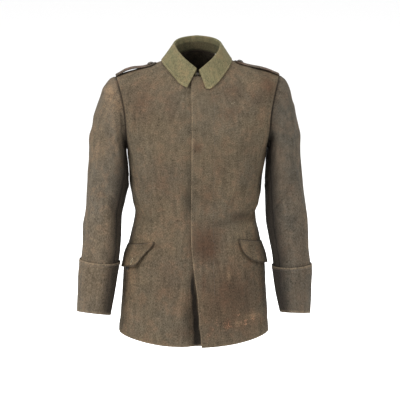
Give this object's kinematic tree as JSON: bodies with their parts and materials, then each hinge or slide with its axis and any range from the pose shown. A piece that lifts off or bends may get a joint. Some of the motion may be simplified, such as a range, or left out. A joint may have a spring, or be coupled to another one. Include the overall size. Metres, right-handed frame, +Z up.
{
  "type": "military tunic",
  "caption": "Worn wool field tunic, hollow as on the body, with fall collar, hidden front fastening, lower pocket flaps, shoulder straps and turned-back cuffs.",
  "frame": {"origin": "base of the neck, midway between the two shoulder seams at the neckline, where the wearer's shoulders carry the tunic", "axes": "+Z up, +X to the wearer's left, the front faces -Y"},
  "size_m": [0.6068, 0.2714, 0.7815],
  "materials": {
    "wool_cloth": "worn brown-grey wool, matt with a short nap",
    "collar_cloth": "olive green wool, matt",
    "strap_cloth": "red-brown wool with a dark piped edge",
    "button_metal": "dull dark metal"
  },
  "bodies": {
    "root": {"front_left": "wool_cloth", "front_right": "wool_cloth", "back": "wool_cloth", "sleeve_upper_left": "wool_cloth", "sleeve_upper_right": "wool_cloth", "sleeve_under_left": "wool_cloth", "sleeve_under_right": "wool_cloth", "cuff_left": "wool_cloth", "cuff_right": "wool_cloth", "pocket_flap_left": "wool_cloth", "pocket_flap_right": "wool_cloth", "collar": "collar_cloth", "shoulder_strap_left": "strap_cloth", "shoulder_strap_right": "strap_cloth", "strap_button_left": "button_metal", "strap_button_right": "button_metal", "pocket_button_left": "button_metal", "pocket_button_right": "button_metal"}
  },
  "joints": []
}
